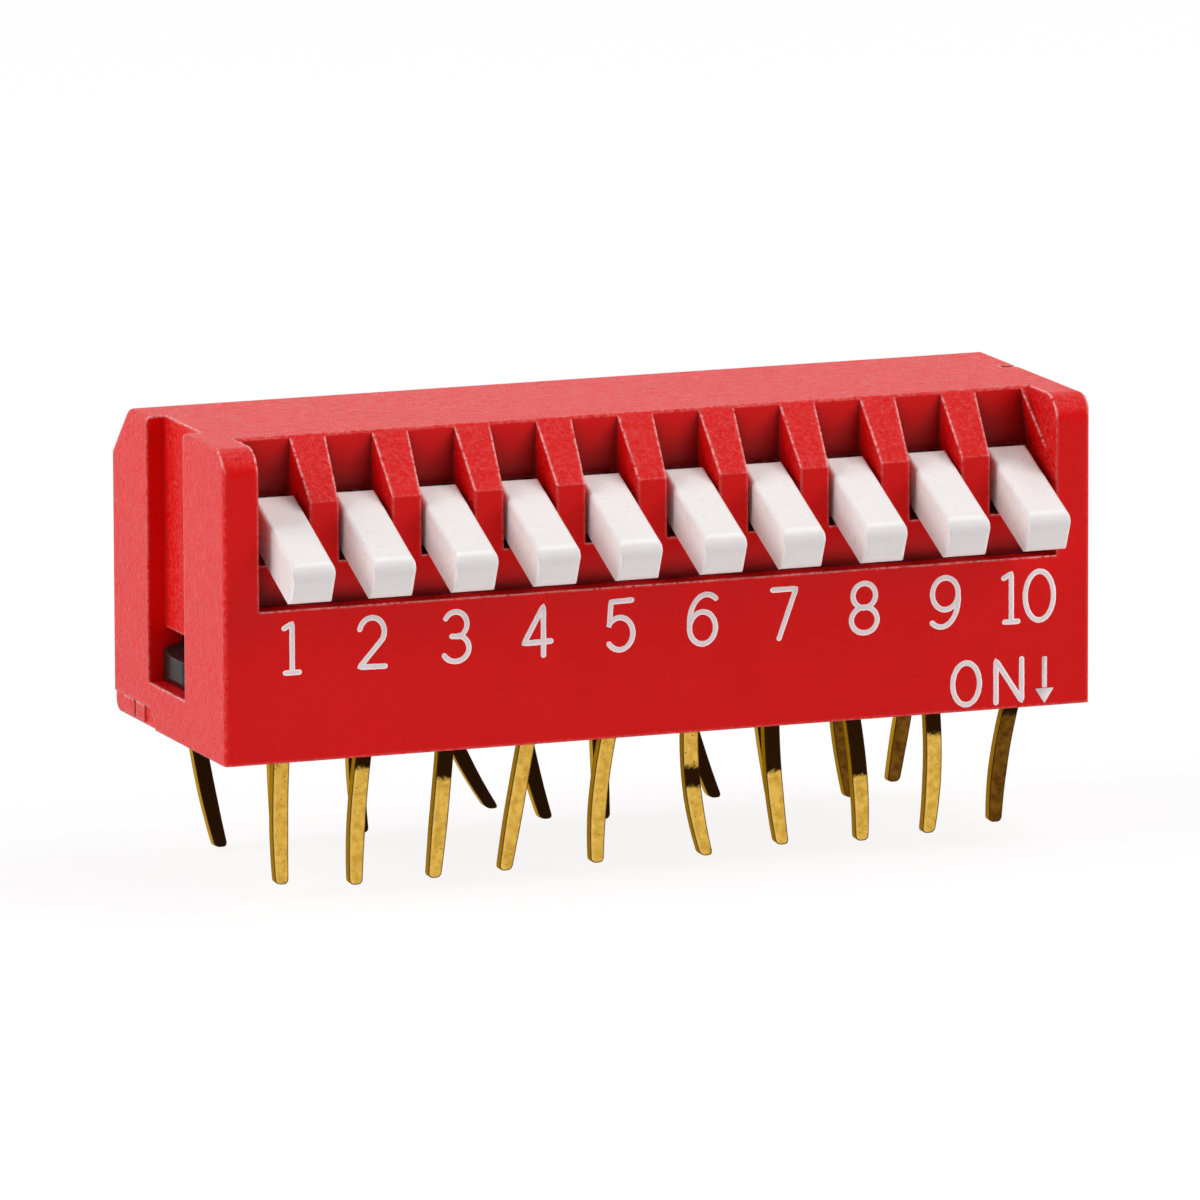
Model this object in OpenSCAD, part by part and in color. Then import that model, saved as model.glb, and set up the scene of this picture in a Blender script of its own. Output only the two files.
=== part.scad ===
// Ten-way piano DIP switch: a moulded housing, ten rocking keys that each carry a spring and
// a ball, and twenty flat terminals held in an insulating contact base.
// Millimetres. X runs along the row of keys, the keys point to -Y, and Z is up from the board.
// The origin lies on the board plane, in the middle of the two rows of legs.

/* [Housing] */
// Distance between neighbouring keys and neighbouring legs
pitch = 2.54; // [2.2:0.01:3.1]
// Depth of the housing from its printed face to its back
body_d = 9.8; // [8.1:0.1:12]
// Height of the housing above the board
body_h = 9.2; // [8.6:0.1:11.2]
// Thickness of each end wall where the keys stand beside it
end_wall = 1.07; // [0.9:0.01:1.4]
// Space between the outermost slots and the end walls
end_gap = 0.28; // [0.2:0.01:0.4]
// Thickness of the outer walls at the front and the back
wall = 0.7; // [0.55:0.05:0.85]
// Thickness of the roof
roof = 0.8; // [0.6:0.05:1]
// Leg of the bevel along the upper back edge
back_bevel = 1.6; // [1:0.1:2.2]
// Radius of the upper front corner of each end wall
corner_r = 0.8; // [0.6:0.1:1.5]
// Radius of the outer edges of the end walls
edge_r = 0.15; // [0.1:0.01:0.3]

/* [Key pockets] */
// How far the ribs stand back behind the printed face
recess = 0.7; // [0.5:0.05:0.9]
// Distance from the printed face to the front edge of the roof
roof_front = 2.18; // [1.8:0.02:2.6]
// Height of the sloping tops of the ribs
slope_h = 1.76; // [1.2:0.02:2.2]
// Distance from the printed face to the back of the pockets
pocket_d = 2.12; // [1.7:0.02:2.16]
// Widening of each pocket's mouth on either side
pocket_draft = 0.165; // [0.05:0.005:0.2]
// Height of the plain strip between the printed face's ledge and the sills of the slots
sill_h = 1.22; // [0.9:0.02:1.5]
// Depth of the lintel that closes the top of each slot
lintel_d = 0.8; // [0.6:0.05:1]
// Depth below the roof to which the end pockets keep their narrow inner strip
strip_h = 1.8; // [1.5:0.1:3.5]

/* [Grooves and windows] */
// Distance from the printed face to the near side of the groove in each end wall
groove_front = 3.48; // [3.1:0.02:4]
// Width of the groove
groove_w = 3.2; // [2.4:0.1:3.6]
// Depth of the groove
groove_d = 0.58; // [0.4:0.02:0.6]
// Height of the groove's floor above the board
groove_z = 1.34; // [1.1:0.02:1.5]
// Height of the window at the foot of the groove
window_h = 1.6; // [1.5:0.05:1.9]
// Height left solid above the groove in the right-hand end wall
groove_roof = 1.2; // [0.8:0.1:2]
// Width of the small nick in the right-hand end wall's upper edge
nick_w = 0.4; // [0.2:0.05:0.6]

/* [Keys] */
// Width of a key
key_w = 1.29; // [1.1:0.01:1.6]
// Thickness of a key's head
key_t = 1.29; // [1:0.01:1.45]
// Distance from the pivot to the key's tip
key_reach = 5.36; // [4.8:0.01:6.2]
// Distance from the pivot to the shoulder behind the head
shoulder = 1.39; // [1.35:0.01:1.6]
// Height of the head's upper face above the pivot, with the head level
head_rise = 1.23; // [1:0.01:1.3]
// Height of the neck's upper face above the pivot
neck_rise = 0.35; // [0.25:0.01:0.38]
// Radius of the hub around the pivot
hub_r = 0.44; // [0.38:0.01:0.44]
// Diameter of the trunnions
trunnion_d = 0.6; // [0.45:0.05:0.7]
// Rounding over the top of the tip
tip_r = 0.5; // [0.2:0.01:0.55]
// Rounding under the tip
under_r = 0.42; // [0.1:0.01:0.44]
// Rounding of the head's other outer edges
side_r = 0.11; // [0.05:0.01:0.2]
// Angle through which a key rocks between OFF and ON
key_swing = 24; // [12:1:25]
// Depth of the pivot below the roof
pivot_drop = 2.2; // [2.1:0.05:2.6]
// Distance from the printed face to the pivot
pivot_y = 3.4; // [3.3:0.05:3.6]

/* [Spring and ball] */
// Diameter of the contact ball
ball_d = 0.9; // [0.7:0.05:1.05]
// Diameter of the spring's wire
wire_d = 0.14; // [0.1:0.01:0.18]
// Number of turns in the spring
turns = 4; // [3:1:6]
// Length of the spring as fitted
spring_l = 2.1; // [1.4:0.1:2.3]

/* [Contact base and bottom plate] */
// Thickness of the contact base
base_t = 1.68; // [1.4:0.01:2]
// Thickness of the bottom plate
plate_t = 0.57; // [0.45:0.01:0.6]
// Height of the notch that shows the bottom plate
notch_h = 0.6; // [0.55:0.01:0.7]
// Distance from the printed face to the notch at board level
notch_front = 6.1; // [5.5:0.1:6.6]
// How far each latch nose stands out of the groove's back face
nose_out = 0.26; // [0.05:0.01:0.3]
// How far each latch nose rises above the contact base
nose_rise = 0.1; // [0:0.05:0.3]
// Height of the bevel along the top of a latch nose
nose_bevel = 0.2; // [0.1:0.05:0.4]
// Rounding along the lower back edge of the bottom plate
plate_r = 0.35; // [0.2:0.05:0.4]

/* [Terminals] */
// Distance from the housing's front or back face to the nearer row of legs
row_inset = 1.09; // [1.04:0.01:1.4]
// Width of a leg
leg_w = 0.48; // [0.4:0.02:0.62]
// Thickness of the terminal strip
strip_t = 0.3; // [0.2:0.01:0.36]
// Width of the contact pad on top of the base
pad_w = 1.1; // [0.8:0.05:1.25]
// Gap between the two pads of one key
pad_gap = 0.5; // [0.3:0.05:0.6]
// Length over which a leg narrows towards its end
taper_l = 1.5; // [0.5:0.1:2]
// Width of a leg at its end, across the rounded corners
tip_w = 0.4; // [0.3:0.02:0.4]
// Radius of the corners at a leg's end
tip_corner = 0.14; // [0.05:0.01:0.14]

/* [Clearances] */
// Side clearance between a key and its slot
key_gap = 0.075; // [0.05:0.005:0.12]
// Clearance between a resting key and the sill below it
rest_gap = 0.04; // [0.03:0.01:0.12]
// Radial clearance of a trunnion in its bearing
bearing_gap = 0.03; // [0.02:0.005:0.06]
// Clearance between the ends of neighbouring trunnions
trunnion_gap = 0.12; // [0.1:0.01:0.2]
// How much narrower the snap-in mouth is than the trunnion
snap = 0.08; // [0.04:0.01:0.12]
// Clearance around the contact base and the bottom plate
base_gap = 0.05; // [0.03:0.01:0.08]
// Clearance around a terminal in its slot
slot_gap = 0.02; // [0.01:0.005:0.05]
// Clearance between the ball and the pads at the lowest point of its swing
ball_gap = 0.02; // [0.01:0.005:0.05]
// Clearance around the ball and the spring in the key
bore_gap = 0.03; // [0.02:0.005:0.05]

/* [Hidden] */
WAYS = 10;
$fn = 48;

// Sideways bend of each leg's tip, and how far its middle bows out of line
front_bend = [-0.02, -0.26, -0.35, -0.7, -0.4, 0.49, 0.41, 0.35, -0.12, -0.48];
front_bow = [-0.05, -0.07, 0.01, -0.01, -0.12, -0.16, -0.07, 0.09, 0.11, -0.11];
back_bend = [0.72, 0.09, 0.12, 1.77, 0.82, 0.13, 1.18, 0.58, 0.42, -0.71];
back_bow = [-0.07, 0, -0.1, -0.17, -0.12, -0.01, -0.1, 0, -0.08, -0.02];
// Length of each leg below the board plane
front_leg = [3.77, 3.96, 3.95, 3.89, 3.86, 3.9, 3.79, 3.84, 3.75, 3.6];
back_leg = [4.1, 3.96, 4.02, 3.63, 4.02, 4.17, 3.79, 3.97, 4.08, 3.73];
// Lean of each leg towards the back, in degrees
front_lean = [0, 0.8, 1.5, 1, 0, 0.1, 2.9, 1.5, 0.2, 2.3];
back_lean = [-3.8, -0.8, -1.7, 1.5, -3.1, -1.8, -1.2, 0.3, -2.8, -0.8];
// How far each key sits to one side within the play of its slot
key_side = [0.045, -0.03, -0.04, -0.045, -0.045, 0.04, -0.045, -0.02, 0.045, 0.045];

slot_w = key_w + 2 * key_gap;
inner_half = (WAYS - 1) * pitch / 2 + slot_w / 2 + end_gap;
body_l = 2 * (inner_half + end_wall);
pivot_z = body_h - pivot_drop;
head_under = head_rise - key_t;
sill_z = pivot_z + head_under / cos(key_swing) - (pivot_y - recess) * tan(key_swing) - rest_gap;
ledge_z = sill_z - sill_h;
lintel_z = pivot_z + hub_r + base_gap / 2;
step_y = recess + lintel_d;
window_z = groove_z + window_h;
base_z = plate_t + 2 * base_gap;
base_top = base_z + base_t;
pad_top = base_top + strip_t;
ball_r = ball_d / 2;
arm_r = pivot_z - pad_top - ball_gap - ball_r;
arm_angle = key_swing / 2;
arm_end = arm_r - ball_r / 3;
bore_top = arm_r - ball_r - spring_l;
ball_y = pivot_y + arm_r * sin(arm_angle);
bearing_half = (WAYS * pitch + trunnion_gap) / 2;
notch_top_y = notch_front + 0.4;
notch_step = notch_h - 0.24;
nose_x = body_l / 2 - groove_d + nose_out;

function way_x(i) = (i - (WAYS + 1) / 2) * pitch;
function two_digits(i) = i < 10 ? str("0", i) : str(i);
function names(stem) = [for (i = [1:WAYS]) str(stem, two_digits(i))];

// Places what is measured from the printed face in the shared frame
module from_front() {
    translate([0, -body_d / 2, 0]) children();
}

// Draws a side view, Y across and Z up, and runs it along X
module along_x(length) {
    rotate([90, 0, 90]) linear_extrude(length, center = true) children();
}

// What lies outside an arc of radius r in the lower left corner
module outside_arc(r) {
    difference() {
        translate([-1, -1]) square(r + 1);
        translate([r, r]) circle(r);
    }
}

// A rectangle with rounded corners: lower left, lower right, upper left, upper right
module soft_rect(w, h, radii) {
    difference() {
        square([w, h]);
        for (c = [0:3], right = [c % 2], up = [floor(c / 2)])
            if (radii[c] > 0)
                translate([right * w, up * h]) mirror([right, 0]) mirror([0, up]) outside_arc(radii[c]);
    }
}

// ---- Housing ----

module end_view() {
    difference() {
        soft_rect(body_d, body_h, [0, 0, corner_r, 0]);
        // bevel along the upper back edge
        polygon([[body_d - back_bevel, body_h], [body_d - back_bevel, body_h + 1],
            [body_d + 1, body_h + 1], [body_d + 1, body_h - back_bevel], [body_d, body_h - back_bevel]]);
    }
}

module blank() {
    intersection() {
        along_x(body_l) end_view();
        translate([-body_l / 2, 0, 0]) linear_extrude(body_h)
            soft_rect(body_l, body_d, [edge_r, edge_r, edge_r, edge_r]);
        translate([-body_l / 2, body_d, 0]) rotate([90, 0, 0]) linear_extrude(body_d)
            soft_rect(body_l, body_h, [0, 0, edge_r, edge_r]);
    }
}

// The stepped and sloping front between the end walls
module front_cut() {
    along_x(2 * inner_half) polygon([[-1, ledge_z], [recess, ledge_z], [recess, body_h - slope_h],
        [roof_front, body_h], [roof_front, body_h + 1], [-1, body_h + 1]]);
}

// One pocket, wider at its mouth, in which a key's head swings up
module pocket() {
    half = slot_w / 2;
    mouth = half + pocket_draft * (pocket_d + 1) / pocket_d;
    translate([0, 0, sill_z]) linear_extrude(body_h) polygon([[-mouth, -1], [mouth, -1],
        [half, pocket_d], [-half, pocket_d]]);
}

// Room for the key's hub and arm, from the bottom plate's chamber up to the roof
module chamber() {
    inner_bevel = body_d + body_h - back_bevel - wall * sqrt(2);
    sill_end = pocket_d - step_y;
    along_x(slot_w) polygon([[wall, window_z - 0.01], [wall, ledge_z - wall], [step_y, ledge_z - wall],
        [step_y, sill_z - 2 * sill_end], [pocket_d, sill_z - sill_end], [pocket_d, sill_z],
        [recess, sill_z], [recess, lintel_z], [pocket_d + lintel_d, lintel_z],
        [pocket_d + lintel_d, body_h - roof], [inner_bevel - body_h + roof, body_h - roof],
        [body_d - wall, inner_bevel - body_d + wall], [body_d - wall, window_z - 0.01]]);
}

// Tapering relief that fades the narrow strip beside each end wall
module strip_cut() {
    x0 = inner_half - end_gap;
    for (m = [0, 1]) mirror([m, 0, 0])
        translate([0, pocket_d, 0]) rotate([90, 0, 0]) linear_extrude(pocket_d + 1)
            polygon([[x0 - 0.1, sill_z], [inner_half, sill_z], [inner_half, body_h - strip_h],
                [x0, body_h], [x0 - 0.1, body_h]]);
}

// Bearings for the trunnions, with snap-in mouths that open downwards
module bearings() {
    translate([0, pivot_y, pivot_z]) {
        rotate([0, 90, 0]) cylinder(d = trunnion_d + 2 * bearing_gap, h = 2 * bearing_half, center = true);
        mouth = trunnion_d - snap;
        translate([-bearing_half, -mouth / 2, window_z - pivot_z - 1])
            cube([2 * bearing_half, mouth, pivot_z - window_z + 1]);
    }
}

// The left-hand groove runs out at the top, the right-hand one stops below the roof
module groove_and_window(open_top) {
    height = open_top ? body_h : body_h - groove_z - groove_roof;
    translate([body_l / 2 - groove_d, groove_front, groove_z])
        cube([groove_d + 1, groove_w, height]);
    translate([inner_half - 0.5, groove_front, groove_z])
        cube([end_wall, groove_w, window_h]);
}

module nick() {
    translate([body_l / 2 - groove_d, body_d / 2 + nick_w, body_h - nick_w])
        cube([groove_d + 1, nick_w, nick_w + 1]);
}

module notch_view(gap = 0) {
    polygon([[notch_front + gap, -1], [notch_front + gap, 0], [notch_front + 0.1 + gap, notch_step - gap],
        [notch_top_y - 0.05 + gap, notch_step - gap], [notch_top_y + gap, notch_h - gap],
        [body_d + 1, notch_h - gap], [body_d + 1, -1]]);
}

module housing() {
    color("firebrick") from_front() difference() {
        blank();
        front_cut();
        for (i = [1:WAYS]) translate([way_x(i), 0, 0]) {
            pocket();
            chamber();
        }
        strip_cut();
        bearings();
        mirror([1, 0, 0]) groove_and_window(open_top = true);
        groove_and_window(open_top = false);
        nick();
        translate([-inner_half, wall, -1]) cube([2 * inner_half, body_d - 2 * wall, window_z + 1]);
        along_x(body_l + 2) notch_view();
    }
}

// ---- Contact base ----

module leg_slots(z0, z1, gap) {
    for (i = [1:WAYS], y = [row_inset, body_d - row_inset])
        translate([way_x(i) - leg_w / 2 - gap, y - strip_t / 2 - gap, z0])
            cube([leg_w + 2 * gap, strip_t + 2 * gap, z1 - z0]);
}

// Latch nose at one end: bevelled on top and beside, square below
module latch_nose() {
    root = inner_half - base_gap - 0.3;
    y0 = groove_front + 2 * base_gap;
    y1 = groove_front + groove_w - base_gap;
    z0 = groove_z + base_gap;
    z1 = base_top + nose_rise;
    side_bevel = (y1 - y0) / 3;
    intersection() {
        translate([0, 0, z0]) linear_extrude(z1 - z0) polygon([[root, y0], [nose_x - nose_out, y0],
            [nose_x, y0 + side_bevel], [nose_x, y1 - side_bevel], [nose_x - nose_out / 2, y1],
            [root, y1]]);
        translate([0, y1, 0]) rotate([90, 0, 0]) linear_extrude(y1 - y0) polygon([[root, z0],
            [nose_x - nose_out / 2, z0], [nose_x, z0 + nose_bevel], [nose_x, z1 - nose_bevel],
            [nose_x - 2 * nose_out, z1], [root, z1]]);
    }
}

module contact_base() {
    half = inner_half - base_gap;
    color("#1a1a1a") from_front() {
        difference() {
            union() {
                translate([-half, wall + base_gap, base_z])
                    cube([2 * half, body_d - 2 * wall - 2 * base_gap, base_t]);
                for (m = [0, 1]) mirror([m, 0, 0]) latch_nose();
                // dividers between the pads
                for (i = [1:WAYS - 1])
                    translate([way_x(i) + slot_w / 2 + base_gap, wall + base_gap, base_top - 0.01])
                        cube([pitch - slot_w - 2 * base_gap, body_d - 2 * wall - 2 * base_gap,
                            window_z - base_top - base_gap]);
            }
            leg_slots(0, base_top + 1, slot_gap);
        }
    }
}

// ---- Bottom plate ----

// Two raised moulding marks on the end of the plate's tab
module tab_relief() {
    y0 = notch_top_y + 0.65;
    for (m = [0, 1]) mirror([m, 0, 0])
        translate([body_l / 2 - 0.08, 0, 0]) difference() {
            translate([0, notch_front, -0.1]) cube([1, body_d, notch_h + 0.2]);
            translate([-0.1, y0, 0.08]) cube([1.2, 0.72, notch_h]);
            translate([-0.1, y0 + 0.9, 0.08]) cube([1.2, 0.85, notch_h]);
        }
}

module bottom_plate() {
    half = inner_half - base_gap;
    color("firebrick") from_front() difference() {
        union() {
            translate([-half, wall + base_gap, 0]) cube([2 * half, notch_front - wall, plate_t]);
            intersection() {
                along_x(body_l - base_gap) notch_view(base_gap / 2);
                along_x(body_l) translate([notch_front - 1, 0])
                    difference() {
                        square([body_d - notch_front + 1 - base_gap / 2, notch_h]);
                        translate([body_d - notch_front + 1 - base_gap / 2 - plate_r, -0.01]) difference() {
                            square([plate_r + 1, plate_r]);
                            translate([0, plate_r + 0.01]) circle(plate_r);
                        }
                    }
            }
        }
        tab_relief();
        leg_slots(-1, plate_t + 1, 2 * slot_gap);
    }
}

// ---- Keys ----

// The head, level, with the pivot at the origin and the tip towards -Y
module head() {
    length = key_reach - shoulder;
    intersection() {
        along_x(key_w) translate([-key_reach, head_under])
            soft_rect(length, key_t, [under_r, 0, tip_r, side_r]);
        translate([-key_w / 2, -key_reach, head_under]) linear_extrude(key_t)
            soft_rect(key_w, length, [side_r, side_r, 0, 0]);
        translate([-key_w / 2, -shoulder, head_under]) rotate([90, 0, 0]) linear_extrude(length)
            soft_rect(key_w, key_t, [side_r, side_r, side_r, side_r]);
    }
}

// Side view of the neck, the hub and the arm
module stem_view() {
    // neck
    translate([-shoulder - 0.2, head_under]) square([shoulder + 0.2, neck_rise - head_under]);
    circle(hub_r);
    // arm with a rounded back above the ball
    rotate(-arm_angle) translate([-key_w / 2, -arm_end]) square([key_w, arm_end - hub_r / 2]);
}

module at_pivot(i) {
    from_front() translate([way_x(i) + key_side[i - 1], pivot_y, pivot_z])
        rotate([key_swing, 0, 0]) children();
}

// Turns a piece drawn upright so that it hangs down the key's arm
module down_the_arm() {
    rotate([180 - arm_angle, 0, 0]) children();
}

module key(i) {
    color("whitesmoke") at_pivot(i) difference() {
        union() {
            head();
            along_x(key_w) stem_view();
            rotate([0, 90, 0]) cylinder(d = trunnion_d, h = pitch - trunnion_gap, center = true);
        }
        down_the_arm() translate([0, 0, bore_top]) cylinder(r = ball_r + bore_gap, h = arm_r);
    }
}

module spring(i) {
    coil_r = ball_r - wire_d / 2;
    color("silver") at_pivot(i) down_the_arm() translate([0, 0, bore_top + bore_gap])
        linear_extrude(spring_l - 2 * bore_gap, twist = 360 * turns, slices = 10 * turns, segments = 0,
            $fn = 0) translate([coil_r, 0]) circle(d = wire_d, $fn = 5);
}

module ball(i) {
    color("gold") at_pivot(i) down_the_arm() translate([0, 0, arm_r]) sphere(ball_r);
}

// ---- Terminals ----

// Sideways place of a leg's middle line at the share t of its length
function leg_x(t, bend, bow) = bend * t + 4 * bow * t * (1 - t);

// Distance from a leg's end, and half its width there, round one corner and up the taper
function leg_outline(length) = concat(
    [for (a = [0:30:90]) [tip_corner * (1 - cos(a)), tip_w / 2 - tip_corner * (1 - sin(a))]],
    [for (k = [1:10]) let (d = tip_corner + (length - tip_corner) * k / 10)
        [d, min(leg_w / 2, tip_w / 2 + (leg_w - tip_w) / 2 * d / taper_l)]]);

// Front view of a bent leg below the board plane
module leg_view(length, bend, bow) {
    side = leg_outline(length);
    n = len(side) - 1;
    right = [for (p = side) [leg_x(1 - p[0] / length, bend, bow) + p[1], p[0] - length]];
    left = [for (k = [n:-1:0]) let (p = side[k])
        [leg_x(1 - p[0] / length, bend, bow) - p[1], p[0] - length]];
    polygon(concat(right, [[leg_w / 2, 0.3], [-leg_w / 2, 0.3]], left));
}

// A terminal of the front row: bent leg, upright strip and pad reaching to pad_end
module terminal(length, bend, bow, lean, pad_end) {
    rotate([lean, 0, 0]) rotate([90, 0, 0])
        linear_extrude(strip_t, center = true) leg_view(length, bend, bow);
    translate([-leg_w / 2, -strip_t / 2, 0]) cube([leg_w, strip_t, pad_top - strip_t / 2]);
    translate([-pad_w / 2, -strip_t / 2, base_top]) cube([pad_w, pad_end, strip_t]);
}

module front_terminal(i) {
    k = i - 1;
    color("goldenrod") from_front() translate([way_x(i), row_inset, 0])
        terminal(front_leg[k], front_bend[k], front_bow[k], front_lean[k],
            ball_y - pad_gap / 2 - row_inset + strip_t / 2);
}

module back_terminal(i) {
    k = i - 1;
    color("goldenrod") from_front() translate([way_x(i), body_d - row_inset, 0]) rotate([0, 0, 180])
        terminal(back_leg[k], -back_bend[k], -back_bow[k], -back_lean[k],
            body_d - row_inset - ball_y - pad_gap / 2 + strip_t / 2);
}

housing();
contact_base();
bottom_plate();
for (i = [1:WAYS]) {
    n = two_digits(i);
    key(i);
    spring(i);
    ball(i);
    front_terminal(i);
    back_terminal(i);
}
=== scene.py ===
# %% [markdown]
# # A ten-way piano DIP switch
# The real part is a red moulded housing with ten white keys that rock in a row of pockets, a
# black contact base that is latched into it from below, and twenty flat gold-plated legs. The
# solids arrive as a fixed frame, in metres, so everything here is finish, print, floor and light.

# %% Load the frame
import math
import random

import bmesh
import bpy
from mathutils import Euler, Matrix, Vector


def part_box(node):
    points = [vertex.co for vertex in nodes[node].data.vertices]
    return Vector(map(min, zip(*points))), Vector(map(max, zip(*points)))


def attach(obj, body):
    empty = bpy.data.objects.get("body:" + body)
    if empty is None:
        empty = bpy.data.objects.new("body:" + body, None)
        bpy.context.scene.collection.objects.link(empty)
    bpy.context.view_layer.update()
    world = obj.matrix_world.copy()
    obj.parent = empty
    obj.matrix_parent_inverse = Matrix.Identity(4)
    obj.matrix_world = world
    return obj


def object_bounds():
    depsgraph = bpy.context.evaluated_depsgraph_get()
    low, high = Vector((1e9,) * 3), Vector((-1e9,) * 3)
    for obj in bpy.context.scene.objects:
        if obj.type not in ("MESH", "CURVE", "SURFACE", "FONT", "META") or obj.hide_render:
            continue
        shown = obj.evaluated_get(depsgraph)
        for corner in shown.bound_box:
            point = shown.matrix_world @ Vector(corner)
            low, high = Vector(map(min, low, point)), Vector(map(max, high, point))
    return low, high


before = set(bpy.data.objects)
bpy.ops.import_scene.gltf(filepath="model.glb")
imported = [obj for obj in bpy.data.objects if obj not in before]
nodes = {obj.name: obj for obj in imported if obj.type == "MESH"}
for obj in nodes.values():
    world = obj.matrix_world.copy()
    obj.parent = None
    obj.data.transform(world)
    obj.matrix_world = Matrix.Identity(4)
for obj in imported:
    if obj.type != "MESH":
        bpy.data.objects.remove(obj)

cad_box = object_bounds()

# %% [markdown]
# ## Sizes
# One millimetre is the unit that a mould maker thinks in, so sizes on the object are written in
# millimetres, and MM turns them into metres. The places that matter are read from the solids: the
# printed face is the housing's front, and the ways stand one pitch apart.

# %% Sizes and places
MM = 0.001
WAYS = [f"{way:02d}" for way in range(1, 11)]
housing_low, housing_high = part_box("housing")
FACE_Y = housing_low.y
END_X = housing_high.x
first_key, last_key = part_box("key_01"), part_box("key_10")
PITCH = (last_key[0].x - first_key[0].x) / (len(WAYS) - 1)
print("printed face at", round(FACE_Y / MM, 2), "mm, pitch", round(PITCH / MM, 3), "mm")

# %% [markdown]
# ## Camera
# A long lens from far off keeps the row of keys almost parallel, as product pictures do. The
# camera stands a little to the left of the printed face and a little above it. It is placed by
# turning a straight-ahead camera to its azimuth and elevation, then backing it off from the point
# it looks at.

# %% Camera
AIM = Vector((-0.05, 0, 3.155)) * MM
AZIMUTH = math.radians(-20.908)
ELEVATION = math.radians(10.378)
ROLL = math.radians(-0.193)
DISTANCE = 447.3 * MM
NEAREST = 10 * MM
FOCAL_LENGTH = 456.5
SENSOR_WIDTH = 36

lens = bpy.data.cameras.new("camera")
lens.lens = FOCAL_LENGTH
lens.sensor_width = SENSOR_WIDTH
lens.clip_start = NEAREST
camera = bpy.data.objects.new("camera", lens)
turn = Euler((math.pi / 2 - ELEVATION, 0, AZIMUTH)).to_matrix() @ Matrix.Rotation(ROLL, 3, "Z")
camera.matrix_world = Matrix.Translation(AIM + turn @ Vector((0, 0, DISTANCE))) @ turn.to_4x4()
bpy.context.collection.objects.link(camera)
bpy.context.scene.camera = camera
bpy.context.scene.view_settings.view_transform = "Standard"
print("camera at", [round(c, 4) for c in camera.matrix_world.translation])

# %% [markdown]
# ## Node helpers
# A material is a small network of nodes. Every input socket of a node holds either a plain value
# or the output of another node, so one helper fills sockets either way and the others build on
# it. A value that is the same all over a surface is set on the shader itself.

# %% Node helpers
def plug(tree, node, sockets):
    """Fills input sockets, each with a plain value or with another node's output."""
    for name, value in dict(sockets).items():
        if isinstance(value, bpy.types.NodeSocket):
            tree.links.new(value, node.inputs[name])
        else:
            node.inputs[name].default_value = value


def add(tree, kind, sockets=(), **settings):
    """A new node of that kind, with its settings made and its sockets filled."""
    node = tree.nodes.new(kind)
    for name, value in settings.items():
        setattr(node, name, value)
    plug(tree, node, sockets)
    return node


def blank_material(name, **sockets):
    """A material with one Principled shader, whose uniform values are set on its own sockets."""
    material = bpy.data.materials.new(name)
    material.use_nodes = True
    tree = material.node_tree
    shader = tree.nodes["Principled BSDF"]
    plug(tree, shader, {socket.replace("_", " "): value for socket, value in sockets.items()})
    return material, tree, shader


print("node helpers ready")

# %% [markdown]
# ## Numbers and colours
# Most of a finish is arithmetic on numbers that change over the surface: a height becomes a share
# from 0 to 1, two shares are multiplied, and the product mixes two colours. Each helper below
# takes sockets and gives back a socket, so a network reads from top to bottom like a recipe. The
# Mix node keeps sockets of the same name for each kind of value, so those for colour go by number.

# %% Arithmetic between sockets
MIX_FACTOR, MIX_LOW, MIX_HIGH, MIX_RESULT = 0, 6, 7, 2


def maths(tree, operation, *values):
    """One operation on sockets or plain numbers."""
    return add(tree, "ShaderNodeMath", dict(enumerate(values)), operation=operation).outputs[0]


def product(tree, first, *others):
    """All of those numbers multiplied together."""
    for other in others:
        first = maths(tree, "MULTIPLY", first, other)
    return first


def ramp(tree, value, low, high, to_low=0.0, to_high=1.0, **settings):
    """A number that goes from to_low to to_high as the value goes from low to high."""
    span = {"Value": value, "From Min": low, "From Max": high, "To Min": to_low, "To Max": to_high}
    return add(tree, "ShaderNodeMapRange", span, **settings).outputs["Result"]


def axis(tree, vector, letter):
    """The X, Y or Z of a vector."""
    return add(tree, "ShaderNodeSeparateXYZ", {"Vector": vector}).outputs[letter]


def colour_mix(tree, factor, low, high):
    """Mixes two colours, each a socket or a plain red, green and blue, by a factor."""
    low, high = [(*colour, 1) if isinstance(colour, tuple) else colour for colour in (low, high)]
    sockets = {MIX_FACTOR: factor, MIX_LOW: low, MIX_HIGH: high}
    return add(tree, "ShaderNodeMix", sockets, data_type="RGBA").outputs[MIX_RESULT]


def bumped(tree, height, depth, **sockets):
    """The normals of a surface that is raised by a height times that depth."""
    relief = {"Strength": 1.0, "Distance": depth, "Height": height, **sockets}
    return add(tree, "ShaderNodeBump", relief).outputs["Normal"]


print("arithmetic ready")

# %% [markdown]
# ## Shared effects
# Moulded plastic takes the fine spark-eroded grain of its mould. It shows as a soft sparkle where
# light grazes, so it goes into the bump and the roughness, and a little of it is painted into the
# colour as sheen on the tops of the grain.
# One node group gives the height of that grain and a slow tone that keeps a large face from
# looking painted, and every finish places the group with sizes of its own. A second group gives
# specks, the small pits that rolled strip keeps under its plating: sparse and random.

# %% Make and place a group
def new_group(name, inputs, outputs):
    """A shader node group of plain numbers: inputs gives each one's start value."""
    group = bpy.data.node_groups.new(name, "ShaderNodeTree")
    for socket, value in inputs.items():
        made = group.interface.new_socket(socket, in_out="INPUT", socket_type="NodeSocketFloat")
        made.default_value = value
    for socket in outputs:
        group.interface.new_socket(socket, in_out="OUTPUT", socket_type="NodeSocketFloat")
    return group, group.nodes.new("NodeGroupInput"), group.nodes.new("NodeGroupOutput")


def use_group(tree, group, **sockets):
    """Places a group in a material with its own values."""
    return add(tree, "ShaderNodeGroup", sockets, node_tree=group)


print("group helpers ready")

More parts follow.
